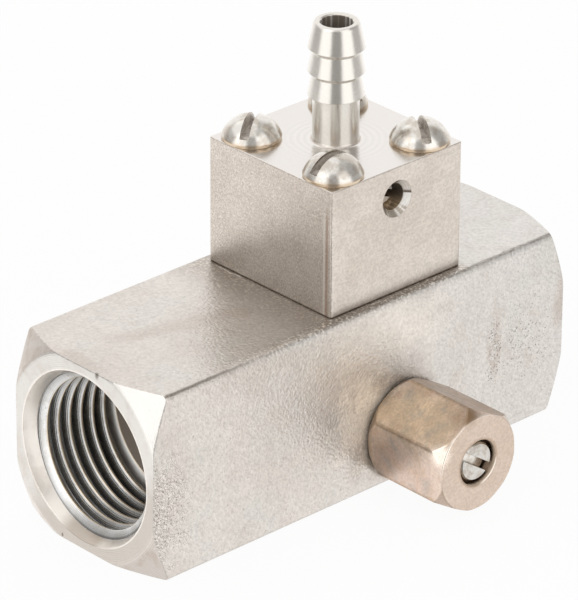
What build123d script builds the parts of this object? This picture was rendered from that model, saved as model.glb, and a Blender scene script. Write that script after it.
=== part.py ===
from build123d import *
from math import cos, radians, sin, sqrt, tan
import os

# Chemical injector. Water enters the port at +X, is squeezed through a nozzle, crosses a suction
# chamber and leaves through a diffuser and the port at -X. The chamber draws chemical down the hose
# barb, past a metering screw and a spring-loaded check ball in the block. A bypass passage beside
# the nozzle is throttled by a slotted needle stem that comes out through the hexagonal gland nut.
# Millimetres. The origin is the middle of the bar's underside, X runs along the bar and Z is up.

# Bar
bar_side = 25.4
bar_length = 70.0
bar_edge_round = 0.8
end_land_r = 13.6
corner_angle = 30.0

# Pipe ports, bored at the thread's root
port_root_r = 10.6
port_mouth_flare = 0.8
port_mouth_depth = 1.65
port_thread_length = 10.95
port_core_step = 1.35
port_depth = 16.5

# Seal rings are drawn with eight sides, of which one lies on each wall of the groove
seal_section_turn = 22.5

# Nozzle and diffuser, screwed in from the port floors
insert_r = 5.0
insert_fit = 0.05
insert_recess = 0.1
insert_mouth_r = 3.2
chamber_r = 3.5
chamber_length = 5.0
nozzle_throat_r = 0.9
nozzle_throat_length = 2.6
nozzle_tip_r = 1.6
nozzle_tip_base_r = 2.4
nozzle_tip_length = 1.6
diffuser_entry_r = 2.0
diffuser_entry_length = 2.0
diffuser_throat_r = 1.2
diffuser_throat_length = 2.0
insert_ring_section_r = 0.44
insert_ring_setback = 2.8
insert_slot_width = 1.2
insert_slot_depth = 1.2

# Block and hose barb
block_side = 22.1
block_height = 17.15
block_x = 6.7
block_edge_break = 0.25
suction_r = 1.6
barb_stem_r = 2.93
barb_base_fillet = 0.45
barb_r = 3.6
barb_neck_r = 3.05
barb_first = 6.2
barb_pitch = 3.19
barb_tip_length = 3.3
barb_tip_r = 2.9
barb_tip_break = 0.25
barb_bore_r = 2.0
barb_bore_lead = 0.19
barb_bore_depth = 12.0
barb_lower_bore_r = 1.6
barb_lower_bore_end = 1.2

# Block screws
screw_spacing = 14.7
screw_r = 2.08
screw_length = 25.0
screw_fit = 0.02
screw_clearance = 0.17
screw_hole_extra = 1.2
head_r = 3.81
head_height = 3.0
head_rim = 0.42
screw_slot_width = 1.2
screw_slot_depth = 1.9
screw_slot_turns = (0.0, 61.0, 31.0, 100.0)

# Check valve in the block
cavity_r = 3.4
cavity_depth = 9.8
check_fit = 0.05
passage_r = 0.8
seat_height = 1.6
seat_hole_r = 1.3
seat_cone_depth = 0.5
ball_r = 2.0
ball_gap = 0.03
spring_coil_r = 1.45
spring_wire_r = 0.22
spring_turns = 4.5
spring_seat_height = 1.2
spring_pocket_depth = 0.6
spring_pocket_r = 1.85
spring_seat_hole_r = 0.9
seal_ring_r = 5.2
seal_section_r = 0.58
seal_groove_depth = 1.18
seal_groove_side = 0.3

# Metering screw in the block's front
meter_below_top = 4.35
meter_mouth_r = 2.46
meter_mouth_depth = 0.8
meter_bore_r = 1.75
meter_bore_end = 3.4
meter_fit = 0.05
meter_recess = 2.5
meter_shoulder = 1.2
meter_needle_bore_r = 0.9
meter_needle_past = 1.3
meter_needle_r = 0.85
meter_tip = 0.1
meter_tip_length = 1.0
meter_ring_section_r = 0.31
meter_ring_setback = 1.0
meter_slot_width = 1.0
meter_slot_depth = 1.0
meter_slot_turn = -22.0

# Bypass passage and its needle stem
bypass_r = 1.0
bypass_inset = 6.6
stem_z = 7.4
pilot_r = 1.6
pilot_past = 0.7
needle_past = 0.1
gland_thread_r = 4.7
gland_fit = 0.06
gland_hole_depth = 4.9
gland_end_gap = 0.2
gland_reach = 8.3
stem_bore_r = 2.05
stem_bore_length = 4.2
stem_thread_bore_r = 2.65
stem_fit = 0.05
stem_travel_in = 2.2
stem_recess = 0.3
stem_end_chamfer = 0.35
stem_point_r = 0.4
stem_point_length = 1.0
stem_ring_section_r = 0.34
stem_ring_setback = 1.0
stem_slot_width = 1.1
stem_slot_depth = 1.3
stem_slot_turn = -34.0

# Gland nut and its packing
nut_flats = 12.6
nut_turn = -26.7
nut_back_gap = 0.3
nut_chamfer = 1.6
nut_face_step = 0.05
nut_wall = 3.1
nut_hole_r = 3.01
packing_thickness = 1.4
follower_thickness = 0.6

# Places that follow from the sizes
bar_mid = bar_side / 2
face = bar_side / 2
end_x = bar_length / 2
port_core_r = port_root_r - port_core_step
port_floor_x = end_x - port_depth
insert_end_x = port_floor_x - insert_recess
chamber_inlet_x = block_x + chamber_length / 2
chamber_outlet_x = block_x - chamber_length / 2
block_top = bar_side + block_height
cavity_roof = bar_side + cavity_depth
meter_z = block_top - meter_below_top
bypass_out = face - bypass_inset
gland_floor = face - gland_hole_depth
gland_inner = gland_floor + gland_end_gap
gland_outer = face + gland_reach
nut_back = face + nut_back_gap
nut_inside = gland_outer + packing_thickness + follower_thickness
nut_front = nut_inside + nut_wall

# Lines that the turned pieces lie on: points are (distance along the line, radius)
bore_line = Plane(origin=(0, 0, bar_mid), x_dir=(1, 0, 0), z_dir=(0, -1, 0))
block_line = Plane(origin=(block_x, 0, 0), x_dir=(0, 0, 1), z_dir=(0, 1, 0))
stem_line = Plane(origin=(block_x, 0, stem_z), x_dir=(0, -1, 0), z_dir=(-1, 0, 0))
meter_line = Plane(origin=(block_x, 0, meter_z), x_dir=(0, -1, 0), z_dir=(-1, 0, 0))


def turned(line, outline, mode=Mode.ADD):
    """Turn a closed outline about a line."""
    with BuildSketch(line) as profile:
        with BuildLine():
            Polyline(*outline, close=True)
        make_face()
    revolve(profile.sketch, axis=Axis(line.origin, line.x_dir), mode=mode)


def ring(line, along, radius, section_r):
    """A seal ring on a line, its section flattened by the walls that squeeze it."""
    with BuildSketch(line) as section:
        with Locations((along, radius)):
            RegularPolygon(radius=section_r, side_count=8, major_radius=False, rotation=seal_section_turn)
    revolve(section.sketch, axis=Axis(line.origin, line.x_dir))


def driver_slot(end_plane, width, depth):
    """A screwdriver slot right across the end of a piece, along the plane's x axis."""
    with BuildSketch(end_plane) as opening:
        Rectangle(bar_side, width)
    extrude(opening.sketch, amount=-depth, mode=Mode.SUBTRACT)


def end_plane(line, along, slot_dir, outward=1):
    """The plane of a turned piece's end face, facing outward along its line."""
    middle = line.origin + line.x_dir * along
    return Plane(origin=middle, x_dir=slot_dir, z_dir=line.x_dir * outward)


os.makedirs("parts", exist_ok=True)

# Body: square bar with turned corners, two ports, venturi bore, bypass passage and threaded holes
corner_reach = bar_side
corner_run = (corner_reach - end_land_r) * tan(radians(corner_angle))
screw_hole_r = screw_r + screw_fit
screw_hole_depth = screw_length - block_height + screw_hole_extra
gland_hole_r = gland_thread_r + gland_fit
pilot_end = bypass_out - bypass_r - pilot_past
with BuildPart() as body:
    with BuildSketch(Plane.YZ.offset(-end_x)):
        with Locations((0, bar_mid)):
            RectangleRounded(bar_side, bar_side, bar_edge_round)
    extrude(amount=bar_length)
    turned(bore_line, [(-end_x, 0), (-end_x, end_land_r), (corner_run - end_x, corner_reach),
                       (end_x - corner_run, corner_reach), (end_x, end_land_r), (end_x, 0)],
           mode=Mode.INTERSECT)
    for side in (-1, 1):
        port_line = Plane(origin=(side * end_x, 0, bar_mid), x_dir=(-side, 0, 0), z_dir=(0, side, 0))
        thread_end = port_mouth_depth + port_thread_length
        turned(port_line, [(0, 0), (0, port_root_r + port_mouth_flare), (port_mouth_depth, port_root_r),
                           (thread_end, port_root_r), (thread_end + port_core_step / 2, port_core_r),
                           (port_depth, port_core_r), (port_depth, 0)],
               mode=Mode.SUBTRACT)
    turned(bore_line, [(-port_floor_x, 0), (-port_floor_x, insert_r), (chamber_outlet_x, insert_r),
                       (chamber_outlet_x, chamber_r), (chamber_inlet_x, chamber_r),
                       (chamber_inlet_x, insert_r), (port_floor_x, insert_r), (port_floor_x, 0)],
           mode=Mode.SUBTRACT)
    with BuildSketch(Plane.XY.offset(bar_side)):
        with Locations((block_x, 0)):
            Circle(suction_r)
    extrude(amount=bar_mid - bar_side, mode=Mode.SUBTRACT)
    with BuildSketch(Plane.XY.offset(bar_side)):
        with Locations((block_x, 0)):
            with GridLocations(screw_spacing, screw_spacing, 2, 2):
                Circle(screw_hole_r)
    extrude(amount=-screw_hole_depth, mode=Mode.SUBTRACT)
    with BuildSketch(Plane.YZ.offset(-port_floor_x)):
        with Locations((-bypass_out, stem_z)):
            Circle(bypass_r)
    extrude(amount=2 * port_floor_x, mode=Mode.SUBTRACT)
    turned(stem_line, [(face, 0), (face, gland_hole_r), (gland_floor, gland_hole_r),
                       (gland_floor, pilot_r), (pilot_end, pilot_r), (pilot_end - pilot_r / 2, 0)],
           mode=Mode.SUBTRACT)
body.part.label = "body"
export_step(body.part, "parts/body.step")

# Nozzle: narrows from the inlet port's floor to a jet that points across the suction chamber
insert_body_r = insert_r - insert_fit
insert_groove_r = insert_r - 2 * insert_ring_section_r - 2 * insert_fit
groove_side = insert_ring_section_r + insert_fit
nozzle_ring_x = chamber_inlet_x + insert_ring_setback
jet_x = chamber_inlet_x - nozzle_tip_length
with BuildPart() as venturi_nozzle:
    turned(bore_line, [(jet_x, nozzle_throat_r), (jet_x, nozzle_tip_r),
                       (chamber_inlet_x, nozzle_tip_base_r), (chamber_inlet_x, insert_body_r),
                       (nozzle_ring_x - groove_side, insert_body_r),
                       (nozzle_ring_x - groove_side, insert_groove_r),
                       (nozzle_ring_x + groove_side, insert_groove_r),
                       (nozzle_ring_x + groove_side, insert_body_r),
                       (insert_end_x, insert_body_r), (insert_end_x, insert_mouth_r),
                       (jet_x + nozzle_throat_length, nozzle_throat_r)])
    driver_slot(end_plane(bore_line, insert_end_x, (0, 1, 0)), insert_slot_width, insert_slot_depth)
venturi_nozzle.part.label = "venturi_nozzle"
export_step(venturi_nozzle.part, "parts/venturi_nozzle.step")

with BuildPart() as nozzle_o_ring:
    ring(bore_line, nozzle_ring_x, insert_r - insert_fit - insert_ring_section_r, insert_ring_section_r)
nozzle_o_ring.part.label = "nozzle_o_ring"
export_step(nozzle_o_ring.part, "parts/nozzle_o_ring.step")

# Diffuser: catches the jet and widens gently to the outlet port's floor
diffuser_ring_x = chamber_outlet_x - diffuser_entry_length - diffuser_throat_length - insert_ring_setback
throat_start_x = chamber_outlet_x - diffuser_entry_length
with BuildPart() as venturi_diffuser:
    turned(bore_line, [(-insert_end_x, insert_mouth_r), (-insert_end_x, insert_body_r),
                       (diffuser_ring_x - groove_side, insert_body_r),
                       (diffuser_ring_x - groove_side, insert_groove_r),
                       (diffuser_ring_x + groove_side, insert_groove_r),
                       (diffuser_ring_x + groove_side, insert_body_r),
                       (chamber_outlet_x, insert_body_r), (chamber_outlet_x, diffuser_entry_r),
                       (throat_start_x, diffuser_throat_r),
                       (throat_start_x - diffuser_throat_length, diffuser_throat_r)])
    driver_slot(end_plane(bore_line, -insert_end_x, (0, 1, 0), outward=-1),
                insert_slot_width, insert_slot_depth)
venturi_diffuser.part.label = "venturi_diffuser"
export_step(venturi_diffuser.part, "parts/venturi_diffuser.step")

with BuildPart() as diffuser_o_ring:
    ring(bore_line, diffuser_ring_x, insert_r - insert_fit - insert_ring_section_r, insert_ring_section_r)
diffuser_o_ring.part.label = "diffuser_o_ring"
export_step(diffuser_o_ring.part, "parts/diffuser_o_ring.step")

# Block with its hose barb, turned from one piece
barb_tops = [block_top + barb_first + index * barb_pitch for index in range(3)]
barb_step = barb_r - barb_neck_r
barb_top = barb_tops[-1] + barb_tip_length
barb_outline = [(block_top, 0), (block_top, barb_stem_r), (barb_tops[0], barb_stem_r), (barb_tops[0], barb_r)]
for edge in barb_tops[1:]:
    barb_outline += [(edge - barb_step, barb_neck_r), (edge, barb_r)]
barb_outline += [(barb_top - barb_tip_break, barb_tip_r), (barb_top, barb_tip_r - barb_tip_break), (barb_top, 0)]
seal_inner_r = seal_ring_r - seal_section_r - seal_groove_side
seal_outer_r = seal_ring_r + seal_section_r + seal_groove_side
block_face = block_side / 2
with BuildPart() as injector_block:
    with BuildSketch(Plane.XY.offset(bar_side)):
        with Locations((block_x, 0)):
            Rectangle(block_side, block_side)
    extrude(amount=block_height)
    chamfer(injector_block.edges().filter_by(Axis.Z), length=block_edge_break)
    turned(block_line, barb_outline)
    base_edge = injector_block.edges().filter_by(GeomType.CIRCLE).group_by(Axis.Z)[0]
    fillet(base_edge, radius=barb_base_fillet)
    turned(block_line, [(barb_top, 0), (barb_top, barb_bore_r + barb_bore_lead),
                        (barb_top - barb_bore_lead, barb_bore_r),
                        (barb_top - barb_bore_depth, barb_bore_r),
                        (barb_top - barb_bore_depth, barb_lower_bore_r),
                        (block_top - barb_lower_bore_end, barb_lower_bore_r),
                        (block_top - barb_lower_bore_end, passage_r),
                        (cavity_roof, passage_r), (cavity_roof, cavity_r),
                        (bar_side, cavity_r), (bar_side, 0)],
           mode=Mode.SUBTRACT)
    turned(block_line, [(bar_side, seal_inner_r), (bar_side, seal_outer_r),
                        (bar_side + seal_groove_depth, seal_outer_r),
                        (bar_side + seal_groove_depth, seal_inner_r)],
           mode=Mode.SUBTRACT)
    with BuildSketch(Plane.XY.offset(bar_side)):
        with Locations((block_x, 0)):
            with GridLocations(screw_spacing, screw_spacing, 2, 2):
                Circle(screw_r + screw_clearance)
    extrude(amount=block_height, mode=Mode.SUBTRACT)
    turned(meter_line, [(block_face, 0), (block_face, meter_mouth_r),
                        (block_face - meter_mouth_depth, meter_bore_r), (meter_bore_end, meter_bore_r),
                        (meter_bore_end, meter_needle_bore_r),
                        (-meter_needle_past, meter_needle_bore_r), (-meter_needle_past, 0)],
           mode=Mode.SUBTRACT)
injector_block.part.label = "injector_block"
export_step(injector_block.part, "parts/injector_block.step")

# Seal ring between the block and the bar
with BuildPart() as block_seal:
    ring(block_line, bar_side + seal_groove_depth / 2, seal_ring_r, seal_section_r)
block_seal.part.label = "block_seal"
export_step(block_seal.part, "parts/block_seal.step")

# Four round-headed screws through the block into the bar
head_arc_drop = head_height - head_rim
corners = [(-1, -1), (1, -1), (-1, 1), (1, 1)]
for number, ((side_x, side_y), slot_turn) in enumerate(zip(corners, screw_slot_turns), start=1):
    screw_x = block_x + side_x * screw_spacing / 2
    screw_y = side_y * screw_spacing / 2
    slot_dir = (cos(radians(slot_turn)), sin(radians(slot_turn)), 0)
    with BuildPart() as block_screw:
        with BuildSketch(Plane(origin=(screw_x, screw_y, block_top), x_dir=(1, 0, 0), z_dir=(0, -1, 0))):
            with BuildLine():
                Polyline((0, head_height), (0, -screw_length), (screw_r, -screw_length),
                         (screw_r, 0), (head_r, 0), (head_r, head_rim))
                RadiusArc((head_r, head_rim), (0, head_height),
                          -(head_r ** 2 + head_arc_drop ** 2) / (2 * head_arc_drop))
            make_face()
        revolve(axis=Axis((screw_x, screw_y, 0), (0, 0, 1)))
        driver_slot(Plane(origin=(screw_x, screw_y, block_top + head_height), x_dir=slot_dir, z_dir=(0, 0, 1)),
                    screw_slot_width, screw_slot_depth)
    block_screw.part.label = f"block_screw_{number}"
    export_step(block_screw.part, f"parts/block_screw_{number}.step")

# Check seat: a ring under the cavity roof with a cone that the ball closes
seat_bottom = cavity_roof - seat_height
seat_mouth_r = seat_hole_r + seat_cone_depth
with BuildPart() as check_seat:
    turned(block_line, [(cavity_roof, seat_hole_r), (seat_bottom + seat_cone_depth, seat_hole_r),
                        (seat_bottom, seat_mouth_r), (seat_bottom, cavity_r - check_fit),
                        (cavity_roof, cavity_r - check_fit)])
check_seat.part.label = "check_seat"
export_step(check_seat.part, "parts/check_seat.step")

# Check ball, against the seat's 45 degree cone
cone_apex = seat_bottom + seat_mouth_r
ball_z = cone_apex - (ball_r + ball_gap) * sqrt(2)
with BuildPart() as check_ball:
    with BuildSketch(block_line):
        with BuildLine():
            Line((ball_z - ball_r, 0), (ball_z + ball_r, 0))
            ThreePointArc((ball_z + ball_r, 0), (ball_z, ball_r), (ball_z - ball_r, 0))
        make_face()
    revolve(axis=Axis(block_line.origin, block_line.x_dir))
check_ball.part.label = "check_ball"
export_step(check_ball.part, "parts/check_ball.step")

# Spring seat: a pocketed washer that lies on the bar and carries the spring
pocket_floor = bar_side + spring_seat_height - spring_pocket_depth
with BuildPart() as spring_seat:
    turned(block_line, [(bar_side, spring_seat_hole_r), (bar_side, cavity_r - check_fit),
                        (bar_side + spring_seat_height, cavity_r - check_fit),
                        (bar_side + spring_seat_height, spring_pocket_r),
                        (pocket_floor, spring_pocket_r), (pocket_floor, spring_seat_hole_r)])
spring_seat.part.label = "spring_seat"
export_step(spring_seat.part, "parts/spring_seat.step")

# Check spring, from the pocket's floor up to the underside of the ball
wire_reach = ball_r + spring_wire_r + ball_gap
coil_start = pocket_floor + spring_wire_r
coil_end = ball_z - sqrt(wire_reach ** 2 - spring_coil_r ** 2)
with BuildPart() as check_spring:
    with BuildLine() as coil:
        Helix(pitch=(coil_end - coil_start) / spring_turns, height=coil_end - coil_start,
              radius=spring_coil_r, center=(block_x, 0, coil_start))
    with BuildSketch(Plane(origin=coil.line @ 0, z_dir=coil.line % 0)):
        RegularPolygon(radius=spring_wire_r, side_count=6)
    sweep()
check_spring.part.label = "check_spring"
export_step(check_spring.part, "parts/check_spring.step")

# Metering screw: its needle closes the drilling under the barb
meter_screw_r = meter_bore_r - meter_fit
meter_ring_r = meter_bore_r - meter_fit - meter_ring_section_r
meter_groove_r = meter_bore_r - 2 * meter_ring_section_r - 2 * meter_fit
meter_end = block_face - meter_recess
meter_shoulder_out = meter_bore_end + meter_shoulder
meter_ring_out = meter_shoulder_out + meter_ring_setback
meter_groove_side = meter_ring_section_r + meter_fit
with BuildPart() as metering_screw:
    turned(meter_line, [(-meter_tip, 0), (meter_tip_length - meter_tip, meter_needle_r),
                        (meter_shoulder_out, meter_needle_r), (meter_shoulder_out, meter_screw_r),
                        (meter_ring_out - meter_groove_side, meter_screw_r),
                        (meter_ring_out - meter_groove_side, meter_groove_r),
                        (meter_ring_out + meter_groove_side, meter_groove_r),
                        (meter_ring_out + meter_groove_side, meter_screw_r),
                        (meter_end, meter_screw_r), (meter_end, 0)])
    slot_dir = (cos(radians(meter_slot_turn)), 0, sin(radians(meter_slot_turn)))
    driver_slot(end_plane(meter_line, meter_end, slot_dir), meter_slot_width, meter_slot_depth)
metering_screw.part.label = "metering_screw"
export_step(metering_screw.part, "parts/metering_screw.step")

with BuildPart() as metering_o_ring:
    ring(meter_line, meter_ring_out, meter_ring_r, meter_ring_section_r)
metering_o_ring.part.label = "metering_o_ring"
export_step(metering_o_ring.part, "parts/metering_o_ring.step")

# Gland nipple: screwed into the bar, guides and threads the bypass stem
stem_bore_end = gland_inner + stem_bore_length
with BuildPart() as gland_nipple:
    turned(stem_line, [(gland_inner, stem_bore_r), (gland_inner, gland_thread_r),
                       (gland_outer, gland_thread_r), (gland_outer, stem_thread_bore_r),
                       (stem_bore_end, stem_thread_bore_r), (stem_bore_end, stem_bore_r)])
gland_nipple.part.label = "gland_nipple"
export_step(gland_nipple.part, "parts/gland_nipple.step")

# Packing and its follower, pressed on the nipple by the nut
follower_start = gland_outer + packing_thickness
with BuildPart() as gland_packing:
    turned(stem_line, [(gland_outer, stem_thread_bore_r), (gland_outer, gland_thread_r),
                       (follower_start, gland_thread_r), (follower_start, stem_thread_bore_r)])
gland_packing.part.label = "gland_packing"
export_step(gland_packing.part, "parts/gland_packing.step")

with BuildPart() as gland_follower:
    turned(stem_line, [(follower_start, stem_thread_bore_r), (follower_start, gland_thread_r),
                       (nut_inside, gland_thread_r), (nut_inside, stem_thread_bore_r)])
gland_follower.part.label = "gland_follower"
export_step(gland_follower.part, "parts/gland_follower.step")

# Gland nut: hexagonal, with both ends turned to a cone
nut_face_r = nut_flats / 2 + nut_face_step
nut_corner_r = nut_flats / sqrt(3)
cone_reach = 2
cone_run = nut_chamfer * cone_reach
cone_r = nut_face_r + (nut_corner_r - nut_face_r) * cone_reach
with BuildPart() as gland_nut:
    with BuildSketch(Plane(origin=(block_x, -nut_back, stem_z), x_dir=(1, 0, 0), z_dir=(0, -1, 0))):
        RegularPolygon(radius=nut_corner_r, side_count=6, rotation=nut_turn)
    extrude(amount=nut_front - nut_back)
    turned(stem_line, [(nut_back, 0), (nut_back, nut_face_r), (nut_back + cone_run, cone_r),
                       (nut_front - cone_run, cone_r), (nut_front, nut_face_r), (nut_front, 0)],
           mode=Mode.INTERSECT)
    turned(stem_line, [(nut_back, 0), (nut_back, gland_hole_r), (nut_inside, gland_hole_r),
                       (nut_inside, nut_hole_r), (nut_front, nut_hole_r), (nut_front, 0)],
           mode=Mode.SUBTRACT)
gland_nut.part.label = "gland_nut"
export_step(gland_nut.part, "parts/gland_nut.step")

# Bypass stem: slotted outer end, threaded length, seal groove and needle point
stem_r = stem_thread_bore_r - stem_fit
stem_neck_r = stem_bore_r - stem_fit
needle_r = pilot_r - stem_fit
stem_end = nut_front - stem_recess
stem_groove_r = stem_bore_r - 2 * stem_ring_section_r - 2 * stem_fit
stem_ring_r = stem_bore_r - stem_fit - stem_ring_section_r
stem_groove_side = stem_ring_section_r + stem_fit
thread_start = stem_bore_end + stem_travel_in + gland_end_gap
neck_start = gland_floor + stem_travel_in + gland_end_gap
stem_ring_out = neck_start + stem_ring_setback
needle_start = bypass_out - bypass_r - needle_past + stem_travel_in
point_end = needle_start - stem_point_length
with BuildPart() as bypass_stem:
    turned(stem_line, [(point_end, 0), (point_end, stem_point_r), (needle_start, needle_r),
                       (neck_start, needle_r), (neck_start, stem_neck_r),
                       (stem_ring_out - stem_groove_side, stem_neck_r),
                       (stem_ring_out - stem_groove_side, stem_groove_r),
                       (stem_ring_out + stem_groove_side, stem_groove_r),
                       (stem_ring_out + stem_groove_side, stem_neck_r),
                       (thread_start, stem_neck_r), (thread_start, stem_r),
                       (stem_end - stem_end_chamfer, stem_r), (stem_end, stem_r - stem_end_chamfer),
                       (stem_end, 0)])
    slot_dir = (cos(radians(stem_slot_turn)), 0, sin(radians(stem_slot_turn)))
    driver_slot(end_plane(stem_line, stem_end, slot_dir), stem_slot_width, stem_slot_depth)
bypass_stem.part.label = "bypass_stem"
export_step(bypass_stem.part, "parts/bypass_stem.step")

with BuildPart() as stem_o_ring:
    ring(stem_line, stem_ring_out, stem_ring_r, stem_ring_section_r)
stem_o_ring.part.label = "stem_o_ring"
export_step(stem_o_ring.part, "parts/stem_o_ring.step")
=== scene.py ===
import math

import bmesh
import bpy
import numpy as np
from mathutils import Matrix, Vector


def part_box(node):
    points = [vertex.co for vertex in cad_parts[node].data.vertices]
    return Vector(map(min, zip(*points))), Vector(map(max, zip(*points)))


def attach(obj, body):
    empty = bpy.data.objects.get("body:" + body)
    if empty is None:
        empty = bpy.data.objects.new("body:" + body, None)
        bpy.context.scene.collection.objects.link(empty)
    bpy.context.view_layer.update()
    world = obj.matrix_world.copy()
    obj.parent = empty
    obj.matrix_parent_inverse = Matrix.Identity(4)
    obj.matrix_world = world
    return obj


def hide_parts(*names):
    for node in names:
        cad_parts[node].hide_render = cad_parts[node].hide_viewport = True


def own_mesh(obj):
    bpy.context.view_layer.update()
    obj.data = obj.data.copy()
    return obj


# A chemical injector: a square steel bar with a pipe port in each end, a bolted check-valve block
# with a hose barb, and a slotted bypass stem in a tarnished gland nut. Lengths here are in
# millimetres in the frame's own axes, and become metres as each mesh is made.
MM = 0.001


# ---------------------------------------- sizes from the frame

def corners(node):
    """Lowest and highest corner of a solid, in millimetres."""
    low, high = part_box(node)
    return np.array(low) / MM, np.array(high) / MM


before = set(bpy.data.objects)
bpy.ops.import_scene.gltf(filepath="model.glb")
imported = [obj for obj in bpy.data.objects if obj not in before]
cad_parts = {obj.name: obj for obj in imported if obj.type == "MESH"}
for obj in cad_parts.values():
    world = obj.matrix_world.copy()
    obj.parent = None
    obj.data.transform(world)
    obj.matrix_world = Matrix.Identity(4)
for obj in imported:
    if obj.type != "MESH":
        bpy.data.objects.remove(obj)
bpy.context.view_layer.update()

bar_low, bar_high = corners("body")
bar_side = bar_high[2] - bar_low[2]
end_x = bar_high[0]
bar_mid = bar_side / 2
face = bar_high[1]

block_low, block_high = corners("injector_block")
block_x = (block_low[0] + block_high[0]) / 2
block_side = block_high[0] - block_low[0]
barb_top = block_high[2]
head_height = 3.0
block_top = corners("block_screw_1")[1][2] - head_height

nut_low, nut_high = corners("gland_nut")
nut_back, nut_front = -nut_high[1], -nut_low[1]
stem_low, stem_high = corners("bypass_stem")
stem_z = (stem_low[2] + stem_high[2]) / 2
stem_end = -stem_low[1]
meter_low, meter_high = corners("metering_screw")
meter_z = (meter_low[2] + meter_high[2]) / 2
meter_end = -meter_low[1]

# Bar, ports and inserts
bar_edge_round = 0.8
end_land_r = 13.6
corner_angle = 30.0
port_root_r = 10.6
port_mouth_flare = 0.8
port_mouth_depth = 1.65
port_thread_end = 12.6
port_core_r = 9.25
port_core_step = 0.68
port_depth = 16.5
insert_r = 5.0
chamber_r = 3.5
chamber_length = 5.0
bypass_r = 1.0
bypass_inset = 6.6
gland_hole_r = 4.76
gland_hole_depth = 4.9
pilot_r = 1.6
pilot_past_bypass = 1.7
pilot_point = 0.8

# Pipe thread
thread_pitch = 25.4 / 14
thread_flank_angle = 30.0
thread_start_depth = 0.95
thread_end_depth = port_thread_end + 0.3
thread_lead_in = 1.1
thread_run_out = 0.9
first_crest_depth = 2.48
crest_r = 9.6
crest_taper = 0.032
thread_crest_flat = 0.22
thread_root_r = port_root_r + 0.08

# Block and barb
block_edge_round = 0.28
suction_r = 1.6
barb_stem_r = 2.93
barb_base_fillet = 0.45
barb_r = 3.6
barb_neck_r = 3.05
barb_first = 6.2
barb_pitch = 3.19
barb_tip_r = 2.9
barb_bore_r = 2.0
barb_bore_lead = 0.19
barb_bore_depth = 12.0
barb_lower_bore_r = 1.6
barb_lower_bore_foot = 1.2
cavity_r = 3.4
cavity_roof = bar_side + 9.8
passage_r = 0.8
seal_inner_r = 4.32
seal_outer_r = 6.08
seal_groove_depth = 1.18
meter_mouth_r = 2.46
meter_mouth_depth = 0.8
meter_bore_r = 1.75
meter_seat_y = 3.4
meter_passage_r = 0.9
meter_passage_end = -1.3

# Block screws
screw_spacing = 14.7
screw_r = 2.08
screw_hole_r = 2.25
screw_length = 25.0
screw_hole_spare = 1.2
head_r = 3.81
head_rim = 0.42
dome_height = head_height - head_rim
dome_r = (head_r ** 2 + dome_height ** 2) / (2 * dome_height)
dome_z = block_top + head_height - dome_r
screw_slot_width = 1.2
screw_slot_depth = 1.9
screw_slot_turns = (0.0, 61.0, 31.0, 100.0)

# Gland nut
nut_flats = 12.6
nut_turn = -26.7
nut_chamfer = 1.6
nut_inside = 23.0
nut_hole_r = 3.01
nut_face_r = nut_flats / 2 + 0.05
nut_cone_slope = nut_chamfer / (nut_flats / math.sqrt(3) - nut_face_r)

# Bypass stem, from its needle outward
needle_tip_r = 0.4
needle_taper = 1.0
needle_r = 1.55
needle_end = 10.2
stem_neck_r = 2.0
stem_groove = (10.81, 11.59, 1.27)
stem_thread_start = 14.6
stem_r = 2.6
stem_slot_turn = -34.0
stem_slot_width = 1.1
stem_slot_depth = 1.3

# Metering screw, from its needle outward
meter_needle_tip = -0.1
meter_needle_taper = 1.0
meter_needle_r = 0.85
meter_needle_end = 4.6
meter_groove = (5.24, 5.96, 1.03)
meter_r = 1.7
meter_slot_turn = -22.0
meter_slot_size = 1.0

# Check spring
spring_wire_r = 0.22
spring_turns = 4.5


# ---------------------------------------- shapes

class Line:
    """A straight line that turned pieces lie on, with the direction its angles are counted from."""

    def __init__(self, origin, along, side):
        self.origin = np.array(origin, float)
        self.along = np.array(along, float)
        self.side = np.array(side, float)
        self.third = np.cross(self.along, self.side)

    def points(self, distance, across, up):
        return (self.origin + np.multiply.outer(distance, self.along)
                + np.multiply.outer(across, self.side) + np.multiply.outer(up, self.third))


bar_line = Line((0, 0, bar_mid), (1, 0, 0), (0, 1, 0))
outlet_line = Line((-end_x, 0, bar_mid), (1, 0, 0), (0, 1, 0))
inlet_line = Line((end_x, 0, bar_mid), (-1, 0, 0), (0, 1, 0))
block_line = Line((block_x, 0, 0), (0, 0, 1), (1, 0, 0))
stem_line = Line((block_x, 0, stem_z), (0, -1, 0), (1, 0, 0))
meter_line = Line((block_x, 0, meter_z), (0, -1, 0), (1, 0, 0))


def rounded(outline, radius, steps=4):
    """An open outline of (distance, radius) points with its inner corners rounded."""
    points = [np.array(point[:2], float) for point in outline]
    radii = [point[2] if len(point) > 2 else radius for point in outline]
    result = [points[0]]
    for before, corner, after, size in zip(points, points[1:], points[2:], radii[1:-1]):
        into, out = corner - before, after - corner
        long_in, long_out = np.linalg.norm(into), np.linalg.norm(out)
        into, out = into / long_in, out / long_out
        turn = math.acos(np.clip(into @ out, -1, 1))
        if size <= 0 or turn < 0.02:
            result.append(corner)
            continue
        cut = min(size * math.tan(turn / 2), 0.45 * long_in, 0.45 * long_out)
        start, end = corner - into * cut, corner + out * cut
        for step in range(steps + 1):
            t = step / steps
            weight = 2 * t * (1 - t) * math.cos(turn / 2)
            total = (1 - t) ** 2 + weight + t ** 2
            result.append(((1 - t) ** 2 * start + weight * corner + t ** 2 * end) / total)
    result.append(points[-1])
    return np.array(result)


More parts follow.
